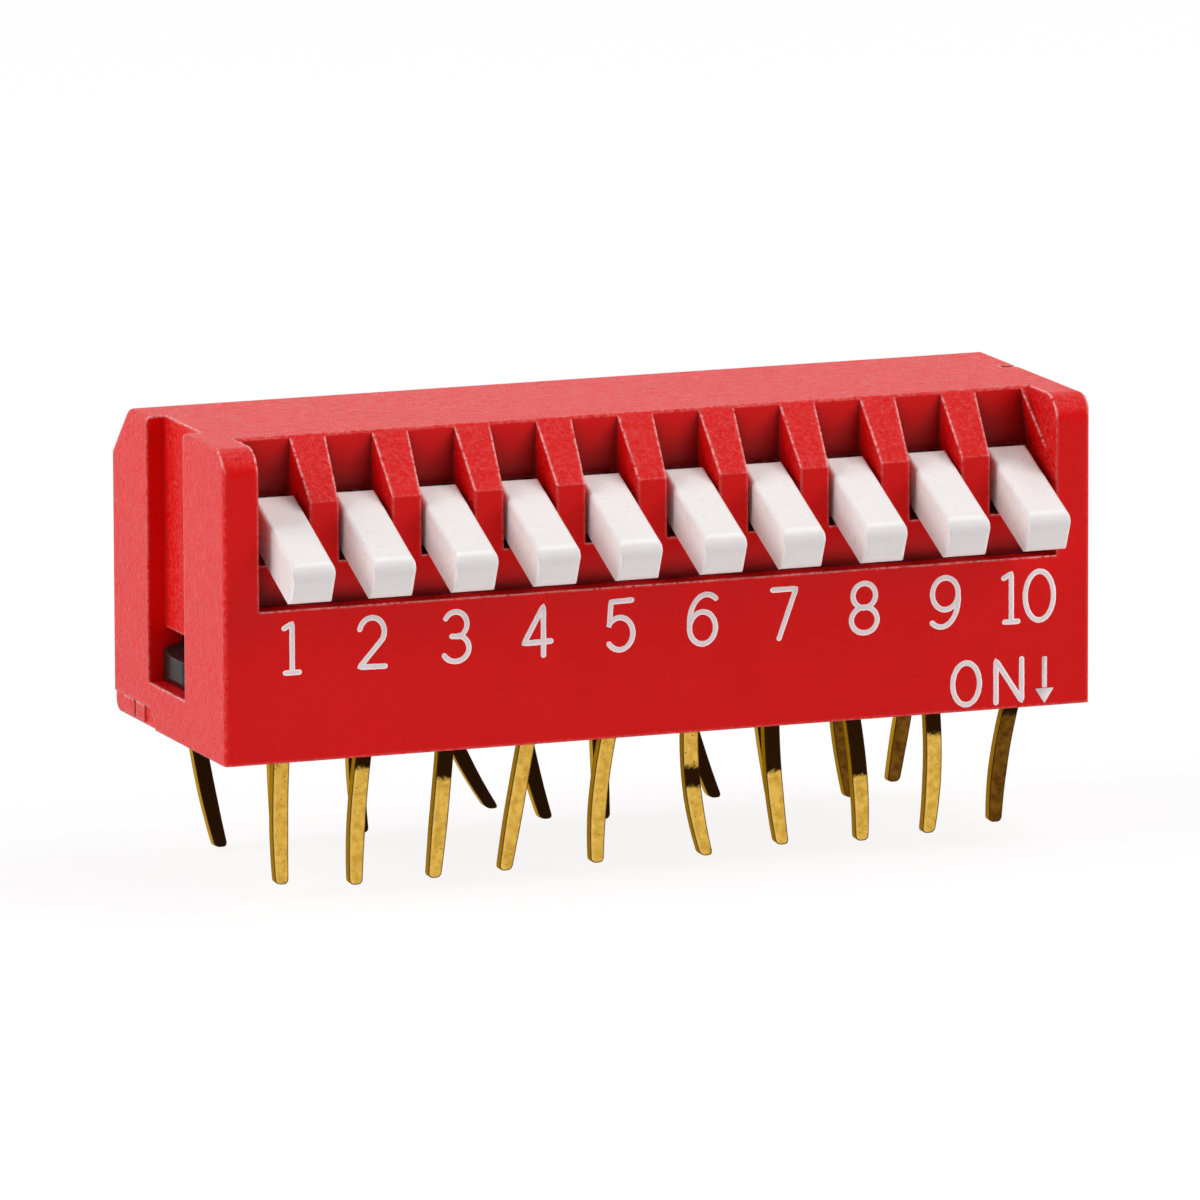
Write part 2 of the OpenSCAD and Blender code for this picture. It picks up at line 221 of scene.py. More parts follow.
# %% Shared effect groups
SPECK_RIM = 0.04


def noise(tree, size, detail, roughness=0.5):
    """Soft noise on the solid itself, with features about that many millimetres across."""
    where = add(tree, "ShaderNodeTexCoord")
    per_metre = maths(tree, "DIVIDE", 1 / MM, size)
    cloud = add(tree, "ShaderNodeTexNoise", {"Vector": where.outputs["Object"], "Scale": per_metre,
        "Detail": detail, "Roughness": roughness})
    return cloud.outputs["Fac"]


def grain_group():
    """Height is the grain of the mould and Tone the slow change, each with its size in mm."""
    group, given, result = new_group("moulded_grain", {"Size": 0.1, "Patch": 2.0}, ["Height", "Tone"])
    height = noise(group, given.outputs["Size"], detail=4.0, roughness=0.72)
    tone = noise(group, given.outputs["Patch"], detail=3.0)
    plug(group, result, {"Height": height, "Tone": tone})
    return group


def speck_group():
    """Mask is 1 in the spots where a noise of that size, in mm, is above a level."""
    group, given, result = new_group("specks", {"Size": 0.1, "Above": 0.7}, ["Mask"])
    cloud = noise(group, given.outputs["Size"], detail=1.0)
    level = given.outputs["Above"]
    plug(group, result, {"Mask": ramp(group, cloud, level, maths(group, "ADD", level, SPECK_RIM))})
    return group


GRAIN = grain_group()
SPECKS = speck_group()
print("groups:", [g.name for g in bpy.data.node_groups])

# %% [markdown]
# ## Outer edges and recesses
# On a saturated red the outer edges are painted pale, a painted highlight for the light that a
# rounded edge catches, while the thin plating on a leg wears through to dark metal there. Ambient
# Occlusion turned inside out finds those edges: a ray sent into the solid from close to an outer
# edge soon meets the neighbouring face, and one sent from a flat place or an inner corner does
# not. The same node the right way round finds the recesses, which little light reaches, and there
# the plastics get painted shade. The Bevel node gives the third thing that an edge needs: it
# rounds the shading there and leaves the solid as it is.

# %% Edge and recess masks
OPEN_TO_EDGE = (0.92, 0.66)
OPEN_TO_DEEP = (0.80, 0.56)
OCCLUSION_SAMPLES = 8


def occlusion(tree, reach, span, inside):
    """A share that goes from 0 to 1 as the openness within reach falls through the span."""
    rays = add(tree, "ShaderNodeAmbientOcclusion", {"Distance": reach}, samples=OCCLUSION_SAMPLES,
        inside=inside, only_local=True)
    return ramp(tree, rays.outputs["AO"], *span)


def outer_edge(tree, reach):
    """A socket that is 1 on an outer edge and falls to 0 within about that reach of it."""
    return occlusion(tree, reach, OPEN_TO_EDGE, inside=True)


def recess(tree, reach):
    """A socket that is 0 on the open faces and 1 deep in a pocket."""
    return occlusion(tree, reach, OPEN_TO_DEEP, inside=False)


def rounded(tree, radius, samples):
    """The normals of a surface whose edges are rounded to that radius."""
    return add(tree, "ShaderNodeBevel", {"Radius": radius}, samples=samples).outputs["Normal"]


print("masks ready")

# %% [markdown]
# ## Plastics
# The three plastics differ in colour, gloss and grain but are built alike. The red one is satin
# with a strong grain, and the white and the black ones have hardly any. The grain is full on the
# faces that look up, back or aside, with a painted sheen on its tops, and it almost vanishes
# on the faces that look straight forward, which the mould polished. Painted shade darkens those
# forward faces inside the pockets, and hardly other faces or the grooves of the end walls, which
# stand open to the light.
#
# Moulded edges are never sharp, so their shading is rounded, and a pale line of painted highlight
# runs along each edge, broken by the grain into dashes that are strongest where the rounded edge
# looks up. The red pigment swallows green and blue almost wholly, so a low index of refraction
# keeps the facing surfaces deep while the grazing ones still pick up a pink sheen.
#
# The next cell names where each of these changes begins and where it is complete: the Y or Z of
# a normal, the height of the grain, or a place along the row.

# %% Where the plastic changes
FORWARD = (-0.75, -0.97)
UPWARD = (0.05, 0.35)
GRAIN_TOPS = (0.46, 0.66)
GRAIN_DASHES = (0.36, 0.58)
GROOVES = (END_X - 1.0 * MM, END_X - 1.2 * MM)


def pocket_share(tree, where, in_shade, forward):
    """Where shade is painted: on forward faces in a pocket, with a trace in other recesses."""
    facing = ramp(tree, forward, *FORWARD, to_low=0.12)
    from_middle = maths(tree, "ABSOLUTE", axis(tree, where.outputs["Object"], "X"))
    inboard = ramp(tree, from_middle, *GROOVES, to_low=0.1)
    return product(tree, facing, inboard, in_shade)


def rubbed_tops(tree, grain, rough, in_shade):
    """Where a sheen is painted on the tops of the grain: on the rough faces, outside the pockets."""
    tops = ramp(tree, grain, *GRAIN_TOPS, to_high=0.10)
    return product(tree, tops, rough, maths(tree, "SUBTRACT", 1.0, in_shade))


def edge_dashes(tree, grain, soft, reach, edge_share):
    """Where a highlight is painted along an outer edge: in dashes, and most where it looks up."""
    dashes = ramp(tree, grain, *GRAIN_DASHES, to_high=edge_share)
    upward = ramp(tree, axis(tree, soft, "Z"), *UPWARD, to_low=0.25)
    return product(tree, dashes, outer_edge(tree, reach), upward)


print("end grooves begin", round(GROOVES[0] / MM, 2), "mm from the middle")

# %% Plastics
PATCH = 1.6
COARSER = 2.6
POCKET_REACH = 2.2 * MM
GRAIN_RANGE = (0.7, 1.3)
GLOSS_SWING = 0.12


def plastic(name, colour, deep, pocket_shade, highlight_colour, ior, roughness, edge_share,
        grain_size, grain_depth, edge_radius):
    """A moulded finish, whose grain and edges are given in millimetres."""
    material, tree, shader = blank_material(name, IOR=ior)
    grain = use_group(tree, GRAIN, Size=grain_size, Patch=PATCH)
    swells = use_group(tree, GRAIN, Size=COARSER * grain_size, Patch=PATCH)
    fine = grain.outputs["Height"]
    height = maths(tree, "ADD", fine, swells.outputs["Height"])
    where = add(tree, "ShaderNodeTexCoord")
    forward = axis(tree, where.outputs["Normal"], "Y")
    rough = ramp(tree, forward, *FORWARD, to_low=1.0, to_high=0.05)
    in_shade = recess(tree, POCKET_REACH)
    reach = edge_radius * MM
    soft = rounded(tree, reach, samples=8)

    toned = colour_mix(tree, grain.outputs["Tone"], deep, colour)
    # The paler tops of the grain are a painted sheen.
    sheened = colour_mix(tree, rubbed_tops(tree, fine, rough, in_shade), toned, highlight_colour)
    # The darker colour in the pockets is painted shade.
    shaded = colour_mix(tree, pocket_share(tree, where, in_shade, forward), sheened, pocket_shade)
    # The pale dashes along the outer edges are a painted highlight.
    edged = colour_mix(tree, edge_dashes(tree, fine, soft, reach, edge_share), shaded, highlight_colour)
    gloss = ramp(tree, height, *GRAIN_RANGE, roughness - GLOSS_SWING, roughness + GLOSS_SWING)
    relief = bumped(tree, height, grain_depth * MM, Strength=rough, Normal=soft)
    plug(tree, shader, {"Base Color": edged, "Roughness": gloss, "Normal": relief})
    return material


print("the coarse grain is", COARSER, "times the size of the fine one")

# %% Red, white and black
# Each plastic below has a dark colour that is painted shade in its pockets, and a pale one that is
# painted sheen on the grain and painted highlight along the edges.
red_plastic = plastic("red_plastic",
    colour=(0.72, 0.0020, 0.0018), deep=(0.66, 0.0012, 0.0010),
    pocket_shade=(0.13, 0.0003, 0.0002), highlight_colour=(0.98, 0.46, 0.44),
    ior=1.23, roughness=0.34, edge_share=1.0, grain_size=0.14, grain_depth=0.075, edge_radius=0.10)
white_plastic = plastic("white_plastic",
    colour=(0.765, 0.735, 0.725), deep=(0.735, 0.70, 0.69),
    pocket_shade=(0.74, 0.69, 0.675), highlight_colour=(0.92, 0.90, 0.89),
    ior=1.4, roughness=0.34, edge_share=0.8, grain_size=0.20, grain_depth=0.006, edge_radius=0.09)
black_plastic = plastic("black_plastic",
    colour=(0.008, 0.006, 0.006), deep=(0.004, 0.003, 0.003),
    pocket_shade=(0.003, 0.002, 0.002), highlight_colour=(0.05, 0.04, 0.035),
    ior=1.22, roughness=0.36, edge_share=0.5, grain_size=0.16, grain_depth=0.008, edge_radius=0.06)
print("plastics:", red_plastic.name, white_plastic.name, black_plastic.name)

# %% [markdown]
# ## Gold plating
# The legs are stamped from copper alloy and plated thinly. The plating is bright on the flat
# faces, pitted where the strip was rough, browner on the sheared sides, and worn dark along the
# edges, and a painted highlight runs down the left-hand shoulder, whose shading is rounded. Near
# the housing it turns almost black, and on the back legs that dark is painted shade, which on
# most of them covers the whole face. How far the dark comes down differs from leg to leg, so each
# leg has its own copy of the finish with its own two heights and its own tones.

# %% Colours of the plating
GOLD = (0.76, 0.47, 0.085)
DULL_GOLD = (0.56, 0.32, 0.042)
# The pale gold of the painted highlight on the left-hand shoulder.
SHOULDER_HIGHLIGHT = (0.98, 0.72, 0.24)
BROWN = (0.17, 0.075, 0.008)
DULL_BROWN = (0.085, 0.033, 0.004)
SHEARED = (0.27, 0.14, 0.030)
PLATED_SIDE = (0.42, 0.245, 0.060)
# The near-black of the dark bands; on the back legs it is painted shade.
DARK_TONE = (0.020, 0.0075, 0.002)
WORN = (0.040, 0.016, 0.004)
PIT = (0.13, 0.062, 0.010)
GRAZING_TINT = (1.0, 0.74, 0.30, 1.0)
TONES = {
    "front": {"bright": GOLD, "dull": DULL_GOLD, "shoulder": SHOULDER_HIGHLIGHT, "side": SHEARED},
    "back": {"bright": GOLD, "dull": DULL_GOLD, "shoulder": SHOULDER_HIGHLIGHT, "side": PLATED_SIDE},
    "brown": {"bright": BROWN, "dull": DULL_BROWN, "shoulder": BROWN, "side": SHEARED},
    "ball": {"bright": GOLD, "dull": DULL_GOLD, "shoulder": SHOULDER_HIGHLIGHT, "side": GOLD},
}
print("sets of tones:", " ".join(TONES))

# %% Dark between two heights
RAGGED = 0.4 * MM
BLUR = 0.08 * MM


def stain_share(tree, where, grain, dark_top, dark_foot):
    """1 between the two heights, with a ragged line at either end."""
    ragged = maths(tree, "MULTIPLY_ADD", grain, RAGGED, axis(tree, where.outputs["Object"], "Z"))
    lines = []
    for height, blur in ((dark_foot, BLUR), (dark_top, -BLUR)):
        middle = height * MM + RAGGED / 2
        line = ramp(tree, ragged, middle - blur, middle + blur, interpolation_type="SMOOTHSTEP")
        lines.append(line)
    return product(tree, *lines)


print("a stain's edge wanders by", RAGGED / MM, "mm")

# %% Gold plating
SHOULDER = 0.15 * MM
EDGE_RADIUS = 0.04 * MM
WORN_REACH = 0.055 * MM
PLATE_RELIEF = 0.008 * MM
PIT_DEPTH = -0.6
LEFTWARD = (-0.04, -0.30)
SIDEWAYS = (0.6, 0.8)
DULL_TO_BRIGHT = (0.36, 0.64)
PLATE_GRAIN = (0.3, 0.7)
PLATE_GLOSS = (0.26, 0.42)


def gold_plate(name, dark_top, dark_foot, bright, dull, shoulder, side):
    """Plating that is dark between two heights, given in millimetres from the board plane."""
    material, tree, shader = blank_material(name, Metallic=1.0, Specular_Tint=GRAZING_TINT)
    grain = use_group(tree, GRAIN, Size=0.16, Patch=0.22)
    fine = grain.outputs["Height"]
    pits = use_group(tree, SPECKS, Size=0.07, Above=0.715).outputs["Mask"]
    where = add(tree, "ShaderNodeTexCoord")
    uneven = ramp(tree, grain.outputs["Tone"], *DULL_TO_BRIGHT)
    lit_shoulder = ramp(tree, axis(tree, rounded(tree, SHOULDER, samples=4), "X"), *LEFTWARD, to_high=0.8)
    darkened = stain_share(tree, where, fine, dark_top, dark_foot)
    sideways = maths(tree, "ABSOLUTE", axis(tree, where.outputs["Normal"], "X"))

    pitted = colour_mix(tree, pits, colour_mix(tree, uneven, dull, bright), PIT)
    # The bright left-hand shoulder is a painted highlight.
    shining = colour_mix(tree, lit_shoulder, pitted, shoulder)
    # The dark band, which on the back legs is painted shade.
    face = colour_mix(tree, darkened, shining, DARK_TONE)
    whole = colour_mix(tree, ramp(tree, sideways, *SIDEWAYS), face, side)
    edged = colour_mix(tree, outer_edge(tree, WORN_REACH), whole, WORN)
    gloss = ramp(tree, fine, *PLATE_GRAIN, *PLATE_GLOSS)
    height = maths(tree, "MULTIPLY_ADD", pits, PIT_DEPTH, fine)
    relief = bumped(tree, height, PLATE_RELIEF, Normal=rounded(tree, EDGE_RADIUS, samples=6))
    plug(tree, shader, {"Base Color": edged, "Roughness": gloss, "Normal": relief})
    return material


print("plating ready")

# %% [markdown]
# ## Dark bands leg by leg
# The top of a dark band is nearly always out of sight inside the housing, so most legs need only the
# height of its foot, below which the plating is bright. The faces of the back legs are painted
# dark from top to tip as painted shade, apart from the last two, and those two and the last front
# leg are brown instead of gold.

# %% Finishes of the legs
HIDDEN = 1
BELOW_TIP = -5
FRONT_DARK = {"01": (HIDDEN, -0.18), "02": (HIDDEN, -0.53), "03": (HIDDEN, -1.03),
    "04": (HIDDEN, 0.2), "05": (HIDDEN, 0.2), "06": (-1.2, -1.83), "07": (HIDDEN, -1.58),
    "08": (HIDDEN, -1.91), "09": (HIDDEN, -0.8), "10": (HIDDEN, -0.4)}
# The back legs' faces are dark from top to tip, as painted shade.
BACK_DARK = {way: (HIDDEN, BELOW_TIP) for way in WAYS}
BACK_DARK.update({"09": (HIDDEN, -0.6), "10": (HIDDEN, -0.5)})
BROWN_LEGS = {("front", "10"), ("back", "09"), ("back", "10")}
legs = {}
for row, dark_spans in (("front", FRONT_DARK), ("back", BACK_DARK)):
    for way, heights in dark_spans.items():
        tones = TONES["brown" if (row, way) in BROWN_LEGS else row]
        legs[f"{row}_terminal_{way}"] = gold_plate(f"gold_{row}_{way}", *heights, **tones)
print(len(legs), "leg finishes")

# %% [markdown]
# ## Ball and spring
# Both are out of sight inside the key. The ball is gold-plated like the pads it rolls on, with no
# dark band anywhere near it, and the spring is bright drawn wire.

# %% Ball and spring
FAR_BELOW = -20
STEEL = (0.46, 0.46, 0.47)
BRIGHT_STEEL = (0.62, 0.62, 0.63)
STEEL_GLOSS = (0.22, 0.36)
ball_gold = gold_plate("gold_ball", FAR_BELOW, FAR_BELOW, **TONES["ball"])


def drawn_wire():
    """Bright steel whose colour and gloss change a little along the wire."""
    material, tree, shader = blank_material("spring_steel", Metallic=1.0)
    grain = use_group(tree, GRAIN, Size=0.05, Patch=0.4)
    steel = colour_mix(tree, grain.outputs["Tone"], STEEL, BRIGHT_STEEL)
    gloss = ramp(tree, grain.outputs["Height"], 0, 1, *STEEL_GLOSS)
    plug(tree, shader, {"Base Color": steel, "Roughness": gloss})
    return material


spring_steel = drawn_wire()
print("inner finishes:", ball_gold.name, spring_steel.name)

# %% [markdown]
# ## Dress the solids
# Each solid keeps its shape and takes its finish in its own material slot.

# %% Dress the solids
def dress(name, material):
    """Gives a solid that material and no other."""
    mesh = nodes[name].data
    mesh.materials.clear()
    mesh.materials.append(material)


dress("housing", red_plastic)
dress("bottom_plate", red_plastic)
dress("contact_base", black_plastic)
for way in WAYS:
    dress(f"key_{way}", white_plastic)
    dress(f"ball_{way}", ball_gold)
    dress(f"spring_{way}", spring_steel)
for name, finish in legs.items():
    dress(name, finish)
print("dressed", len(nodes), "solids")

# %% [markdown]
# ## Printed numbers
# The numbers and the ON mark are pad-printed: an even stroke with round ends and a skin of ink a
# few hundredths of a millimetre thick that thins towards its rim. Each stroke is drawn as a curve
# whose radius falls away at both ends, made a mesh, and pressed flat against the printed face.
# A lettering font would give flat outlines with sharp corners, so the strokes are drawn here from
# lines and arcs, as an engraver's template has them. A figure stands on its foot, and x is
# measured from its middle line.

# %% Stroke shapes
STROKE = 0.17
TALL = 1.39


def arc(x, z, rx, rz, start, end, steps=26):
    """Points along an ellipse, from one angle in degrees to another."""
    turns = [math.radians(start + (end - start) * k / steps) for k in range(steps + 1)]
    return [(x + rx * math.cos(a), z + rz * math.sin(a)) for a in turns]


def turned(strokes):
    """The same strokes turned by half a turn about the middle of a figure."""
    return [[(-x, TALL - z) for x, z in stroke] for stroke in strokes]


SIX = [arc(0, 0.45, 0.385, 0.46, 180, -180), arc(0.12, 0.60, 0.505, 0.80, 190, 58)]
SHAPES = {
    "1": [[(-0.22, 1.27), (0, TALL), (0, 0)], [(-0.19, 0), (0.19, 0)]],
    "2": [arc(0, 0.99, 0.36, 0.41, 165, -32) + [(-0.36, 0.02), (0.37, 0)]],
    "3": [arc(0, 1.04, 0.33, 0.36, 148, -75) + [(-0.10, 0.71)], arc(0, 0.36, 0.385, 0.37, 75, -148)],
    "4": [[(0.19, 0), (0.19, TALL), (-0.38, 0.36), (0.40, 0.38)]],
    "5": [[(0.33, TALL), (-0.27, TALL - 0.02), (-0.32, 0.70)] + arc(-0.02, 0.45, 0.39, 0.46, 146, -142)],
    "6": SIX,
    "7": [[(-0.34, TALL), (0.34, TALL), (-0.16, 0)]],
    "8": [arc(0, 1.05, 0.335, 0.35, 90, -270), arc(0, 0.35, 0.385, 0.37, 90, -270)],
    "9": turned(SIX),
    "0": [arc(0, 0.695, 0.425, 0.705, 90, -270)],
    "O": [arc(0, 0.62, 0.405, 0.625, 90, -270)],
    "N": [[(-0.395, 0), (-0.395, 1.24), (0.395, 0), (0.395, 1.24)]],
}
print("shapes:", " ".join(SHAPES))

# %% [markdown]
# ## From a path to a stroke
# Printed ink has no ruled edge. Each path is cut into short steps, the width of the stroke wavers
# a little from point to point, and an open stroke gets a round cap at either end. The waver comes
# from one seeded source, so the print is the same every time.

# %% Paths that waver
STEP = 0.05
WAVER = 0.05
CAP_STEPS = 4
CAP_TIP = 0.02
SEED = 7
chance = random.Random(SEED)


def finely(points):
    """The same path with a point every so often, so that its edge can waver."""
    fine = []
    for (x0, z0), (x1, z1) in zip(points, points[1:]):
        count = max(1, round(math.dist((x0, z0), (x1, z1)) / STEP))
        fine += [(x0 + (x1 - x0) * k / count, z0 + (z1 - z0) * k / count) for k in range(count)]
    return fine + [points[-1]]


def wavering(path):
    """(x, z, share of the full radius) for each point."""
    return [(x, z, 1 + chance.uniform(-WAVER, WAVER)) for x, z in path]


def cap(tip, inner):
    """The points of a round end, outwards from the tip of a stroke."""
    away = Vector(tip) - Vector(inner)
    away.normalize()
    angles = [math.pi / 2 * k / CAP_STEPS for k in range(1, CAP_STEPS + 1)]
    reaches = [(STROKE / 2 * math.sin(a), max(math.cos(a), CAP_TIP)) for a in angles]
    return [(tip[0] + away.x * reach, tip[1] + away.y * reach, share) for reach, share in reaches]


def rounded_ends(path):
    """The wavering path with a cap at either end."""
    return cap(path[0], path[1])[::-1] + wavering(path) + cap(path[-1], path[-2])


print("points in an 8:", sum(len(finely(path)) for path in SHAPES["8"]))

# %% [markdown]
# ## Lay and press the ink
# A curve with a round bevel is the shortest way to a bead of ink, and its cyclic setting closes a
# ring without a seam. All the beads of one mark are gathered in one mesh. Pressing flattens them
# to the height of the ink, with as much again sunk in the printed face, and writes down how near
# each point is to the rim, for the finish to use.

# %% Lay the beads
BEVEL_RINGS = 3
SAME_POINT = 0.001


def stroke_mesh(points, closed):
    """A round bead along the points, in millimetres, as a mesh."""
    curve = bpy.data.curves.new("stroke", "CURVE")
    curve.dimensions = "3D"
    curve.bevel_depth = STROKE / 2
    curve.bevel_resolution = BEVEL_RINGS
    spline = curve.splines.new("POLY")
    spline.points.add(len(points) - 1)
    for point, (x, z, share) in zip(spline.points, points):
        point.co = (x, 0, z, 1)
        point.radius = share
    spline.use_cyclic_u = closed
    drawn = bpy.data.objects.new("stroke", curve)
    mesh = bpy.data.meshes.new_from_object(drawn)
    bpy.data.objects.remove(drawn)
    bpy.data.curves.remove(curve)
    return mesh


def lay(bm, glyph, x, z, wide, tall, slope=0.0):
    """Adds one figure to a bmesh, with the foot of its middle line at x and z in millimetres."""
    for path in SHAPES[glyph]:
        closed = math.dist(path[0], path[-1]) < SAME_POINT
        fine = finely(path)
        points = wavering(fine[:-1]) if closed else rounded_ends(fine)
        placed = [(x + px * wide, z + pz * tall + slope * (x + px), share) for px, pz, share in points]
        mesh = stroke_mesh(placed, closed)
        bm.from_mesh(mesh)
        bpy.data.meshes.remove(mesh)


print("a bead is", STROKE, "mm wide")

# %% Press the beads
INK_HEIGHT = 0.012


def press(bm, name, material):
    """Flattens the beads on to the printed face and makes them a piece."""
    for vert in bm.verts:
        vert.co.y *= 2 * INK_HEIGHT / STROKE
    lift = max(abs(vert.co.y) for vert in bm.verts)
    rim = bm.verts.layers.float.new("rim")
    for vert in bm.verts:
        vert[rim] = 1 - abs(vert.co.y) / lift
    bmesh.ops.scale(bm, vec=(MM, MM, MM), verts=bm.verts)
    bmesh.ops.translate(bm, vec=(0, FACE_Y, 0), verts=bm.verts)
    mesh = bpy.data.meshes.new(name)
    bm.to_mesh(mesh)
    bm.free()
    mesh.materials.append(material)
    mesh.shade_smooth()
    piece = bpy.data.objects.new(name, mesh)
    bpy.context.collection.objects.link(piece)
    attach(piece, "switch_body")
    print(name, len(mesh.vertices), "points")


print("ink stands", INK_HEIGHT, "mm proud")

# %% [markdown]
# ## Ink
# The ink is a warm white that lets a little of the red through. It is palest at its rim, and
# the piece's own rim attribute says where that is.

# %% Ink finish
THIN_INK = (0.77, 0.65, 0.67)
FULL_INK = (0.85, 0.76, 0.77)
RIM_INK = (0.98, 0.95, 0.95)
NEAR_RIM = (0.12, 0.45)
INK_GLOSS = (0.42, 0.6)
INK_RELIEF = 0.003 * MM


def ink_finish():
    """Blotched pale ink with a paler rim and a faint grain."""
    material, tree, shader = blank_material("pale_ink", IOR=1.45)
    rim = add(tree, "ShaderNodeAttribute", attribute_name="rim").outputs["Fac"]
    grain = use_group(tree, GRAIN, Size=0.05, Patch=0.25)
    near_rim = ramp(tree, rim, *NEAR_RIM, interpolation_type="SMOOTHSTEP")
    blotch = colour_mix(tree, grain.outputs["Tone"], THIN_INK, FULL_INK)
    colour = colour_mix(tree, near_rim, blotch, RIM_INK)
    gloss = ramp(tree, grain.outputs["Height"], 0, 1, *INK_GLOSS)
    relief = bumped(tree, grain.outputs["Height"], INK_RELIEF)
    plug(tree, shader, {"Base Color": colour, "Roughness": gloss, "Normal": relief})
    return material


pale_ink = ink_finish()
print("finish:", pale_ink.name)

# %% [markdown]
# ## Place the numbers
# One number stands below each key. A real print is never quite in line, so some numbers stand a
# few hundredths to one side, and the whole row sinks a little to the right. The two figures of
# the ten have places of their own, because they share the width of one key.

# %% Print the numbers
MIDDLE_WAY = (1 + len(WAYS)) / 2
NUMBER_FOOT = 2.61
NUMBER_SIZE = {"wide": 1.06, "tall": 1.035, "slope": -0.0025}
OFF_LINE = {2: -0.09, 3: -0.05, 4: -0.075, 5: -0.025, 7: 0.03, 9: 0.02}
FIGURES_OF_TEN = [("1", 11.00), ("0", 11.89)]
figures = [(str(way), (way - MIDDLE_WAY) * PITCH / MM + OFF_LINE.get(way, 0))
    for way in range(1, len(WAYS))]
numbers = bmesh.new()
for glyph, x in figures + FIGURES_OF_TEN:
    lay(numbers, glyph, x, NUMBER_FOOT, **NUMBER_SIZE)
press(numbers, "number_marks", pale_ink)

# %% [markdown]
# ## Place the ON mark
# ON stands at the lower right of the printed face, under the last two numbers. Its two letters
# are drawn like the figures and are a little shorter.

# %% Print the ON mark
ON_FOOT = 0.205
LETTERS = [("O", 9.57, 1.05), ("N", 10.925, 1.03)]
on_mark = bmesh.new()
for glyph, x, wide in LETTERS:
    lay(on_mark, glyph, x, ON_FOOT, wide, tall=1.0)
press(on_mark, "on_mark", pale_ink)

# %% [markdown]
# ## Arrow
# The arrow beside ON points the way a key is pressed. Its shaft is a thin bar and its head a
# filled triangle, so both are small prisms with softened edges instead of strokes. The triangle
# is a three-sided cylinder that is turned to face forward, with one corner at the bottom.

# %% Arrow
ARROW_X = 12.055
HEAD_RADIUS = 0.30
HEAD_STRETCH = 1.12
HEAD_Z = 0.375
SHAFT_WIDE = 0.155
SHAFT_TALL = 0.93
SHAFT_Z = 1.01
ARROW_CORNER = 0.03
ALONG_Y = 0.9


def arrow():
    """The head and the shaft, as thick as a stroke, in millimetres."""
    bm = bmesh.new()
    head = bmesh.ops.create_cone(bm, segments=3, radius1=HEAD_RADIUS, radius2=HEAD_RADIUS, depth=1,
        cap_ends=True)["verts"]
    corner_down = Matrix.Rotation(-math.pi / 2, 3, "X")
    bmesh.ops.rotate(bm, verts=head, cent=(0, 0, 0), matrix=corner_down)
    bmesh.ops.scale(bm, vec=(HEAD_STRETCH, 1, 1), verts=head)
    bmesh.ops.translate(bm, vec=(0, 0, HEAD_Z), verts=head)
    shaft = bmesh.ops.create_cube(bm, size=1)["verts"]
    bmesh.ops.scale(bm, vec=(SHAFT_WIDE, 1, SHAFT_TALL), verts=shaft)
    bmesh.ops.translate(bm, vec=(0, 0, SHAFT_Z), verts=shaft)
    bmesh.ops.scale(bm, vec=(1, STROKE, 1), verts=bm.verts)
    through = [e for e in bm.edges if abs((e.verts[0].co - e.verts[1].co).normalized().y) > ALONG_Y]
    bmesh.ops.bevel(bm, geom=through, offset=ARROW_CORNER, affect="EDGES", segments=3, profile=0.5,
        material=-1)
    bmesh.ops.translate(bm, vec=(ARROW_X, 0, 0), verts=bm.verts)
    return bm


press(arrow(), "arrow_mark", pale_ink)

# %% [markdown]
# ## Floor and backdrop
# The floor is a broad pale sheet that the tips of the legs touch. It shows as white to the camera
# and to reflections, and keeps a trace of the object's shadow. Light Path says what kind of ray
# has arrived, and the rays that look, instead of lighting, mostly meet a white glow.

# %% Floor paper
PAPER = (0.97, 0.97, 0.97, 1)
WHITE = (1, 1, 1, 1)
GLOW_SHARE = 0.88


def looked_at(tree):
    """1 for a ray from the camera, or one that was mirrored or let through, and 0 for the rest."""
    path = add(tree, "ShaderNodeLightPath")
    seen = maths(tree, "MAXIMUM", path.outputs["Is Camera Ray"], path.outputs["Is Glossy Ray"])
    return maths(tree, "MAXIMUM", seen, path.outputs["Is Transmission Ray"])


def paper():
    """Matt paper that glows white to whatever looks at it."""
    material, tree, shader = blank_material("floor_paper", Roughness=0.9, Base_Color=PAPER)
    glow = add(tree, "ShaderNodeEmission", {"Color": WHITE, "Strength": 1.0})
    share = maths(tree, "MULTIPLY", looked_at(tree), GLOW_SHARE)
    mix = add(tree, "ShaderNodeMixShader", {0: share, 1: shader.outputs[0], 2: glow.outputs[0]})
    plug(tree, tree.nodes["Material Output"], {"Surface": mix.outputs[0]})
    return material


floor_paper = paper()
print("finish:", floor_paper.name)

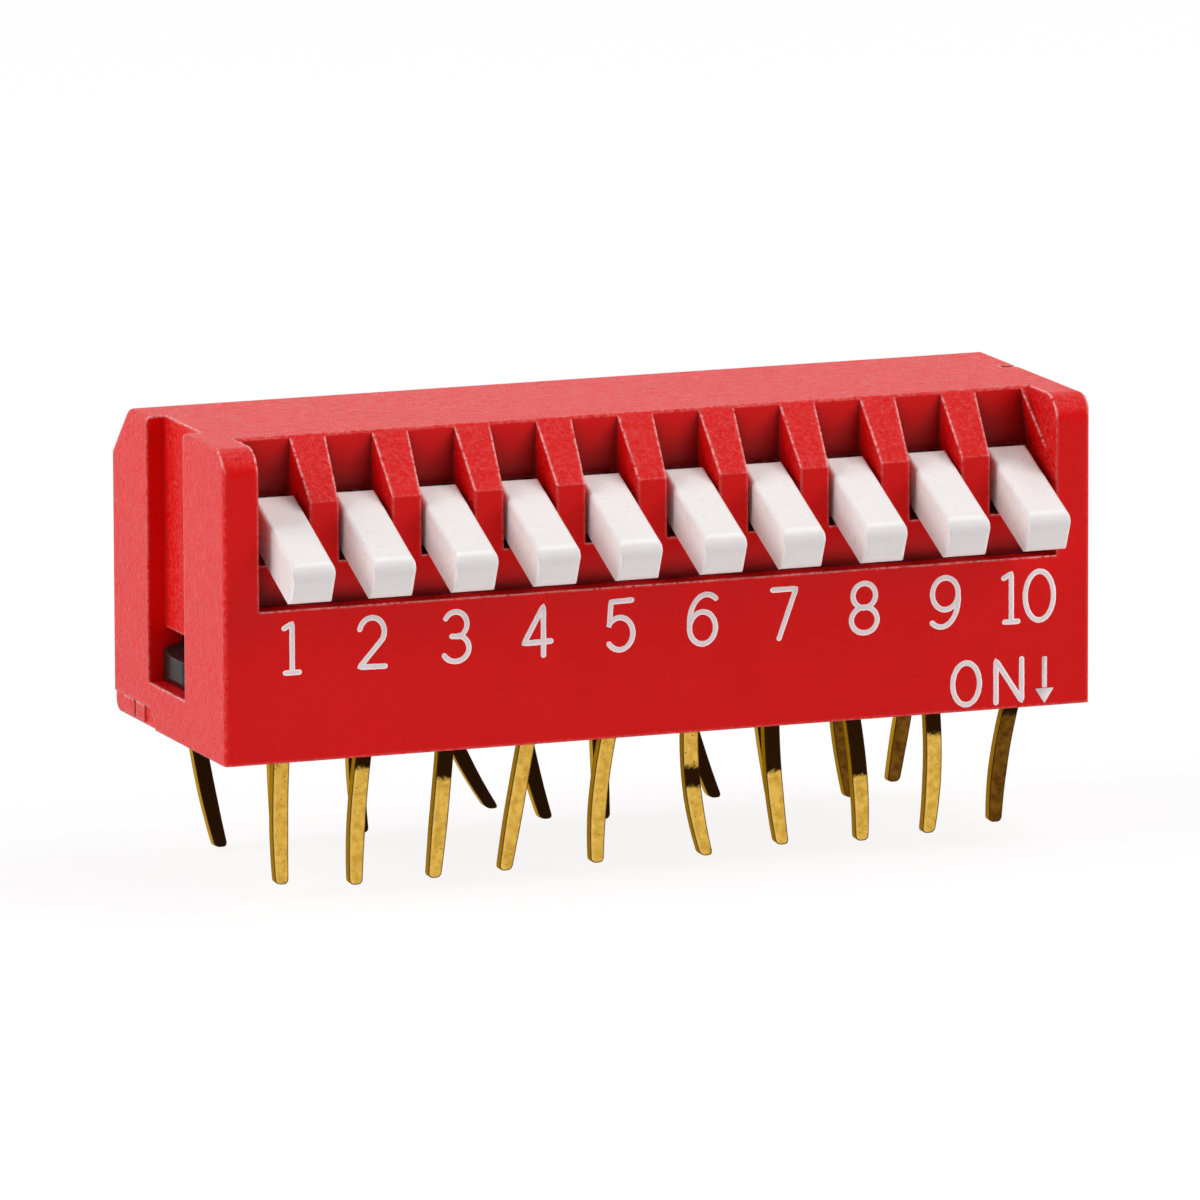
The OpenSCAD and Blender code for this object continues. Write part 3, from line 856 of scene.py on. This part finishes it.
# %% Floor
FLOOR_WIDTH = 3.0
FLOOR_Z = cad_box[0].z


def floor():
    """A square sheet under the tips of the legs."""
    bm = bmesh.new()
    bmesh.ops.create_grid(bm, x_segments=1, y_segments=1, size=FLOOR_WIDTH / 2)
    bmesh.ops.translate(bm, vec=(0, 0, FLOOR_Z), verts=bm.verts)
    mesh = bpy.data.meshes.new("floor")
    bm.to_mesh(mesh)
    bm.free()
    mesh.materials.append(floor_paper)
    sheet = bpy.data.objects.new("floor", mesh)
    bpy.context.collection.objects.link(sheet)


floor()
print("floor at", round(FLOOR_Z / MM, 2), "mm")

# %% [markdown]
# ## Light
# The room is white wherever it is looked at or mirrored, and adds only a little light of its own,
# so the pockets between the ribs keep their depth. A softbox overhead and one high on the left
# bring up the roof and the end wall, one at the right front keeps the printed face a clear deep
# red, and a weak one behind the left shoulder shows the back.

# %% World
ROOM_LIGHT = 0.08


def room():
    """A white world that lights the object far less than it shows."""
    world = bpy.data.worlds.new("white_room")
    bpy.context.scene.world = world
    world.use_nodes = True
    tree = world.node_tree
    level = ramp(tree, looked_at(tree), 0, 1, to_low=ROOM_LIGHT)
    plug(tree, tree.nodes["Background"], {"Color": WHITE, "Strength": level})


room()
print("world:", bpy.context.scene.world.name)

# %% Softboxes
SOFTBOXES = {
    "overhead": {"place": (0.20, 0.00, 0.48), "size": 0.30, "power": 1.32},
    "high_left": {"place": (-0.45, 0.01, 0.30), "size": 0.32, "power": 2.25},
    "right_front": {"place": (0.42, -0.22, 0.26), "size": 0.30, "power": 1.44},
    "behind": {"place": (-0.30, 0.45, 0.12), "size": 0.28, "power": 0.45},
}


def softbox(name, place, size, power):
    """A square area light at a place, in metres, that faces the middle of the object."""
    light = bpy.data.lights.new(name, "AREA")
    light.size = size
    light.energy = power
    lamp = bpy.data.objects.new(name, light)
    lamp.location = place
    lamp.rotation_euler = (AIM - Vector(place)).to_track_quat("-Z", "Y").to_euler()
    bpy.context.collection.objects.link(lamp)


for name, values in SOFTBOXES.items():
    softbox(name, **values)
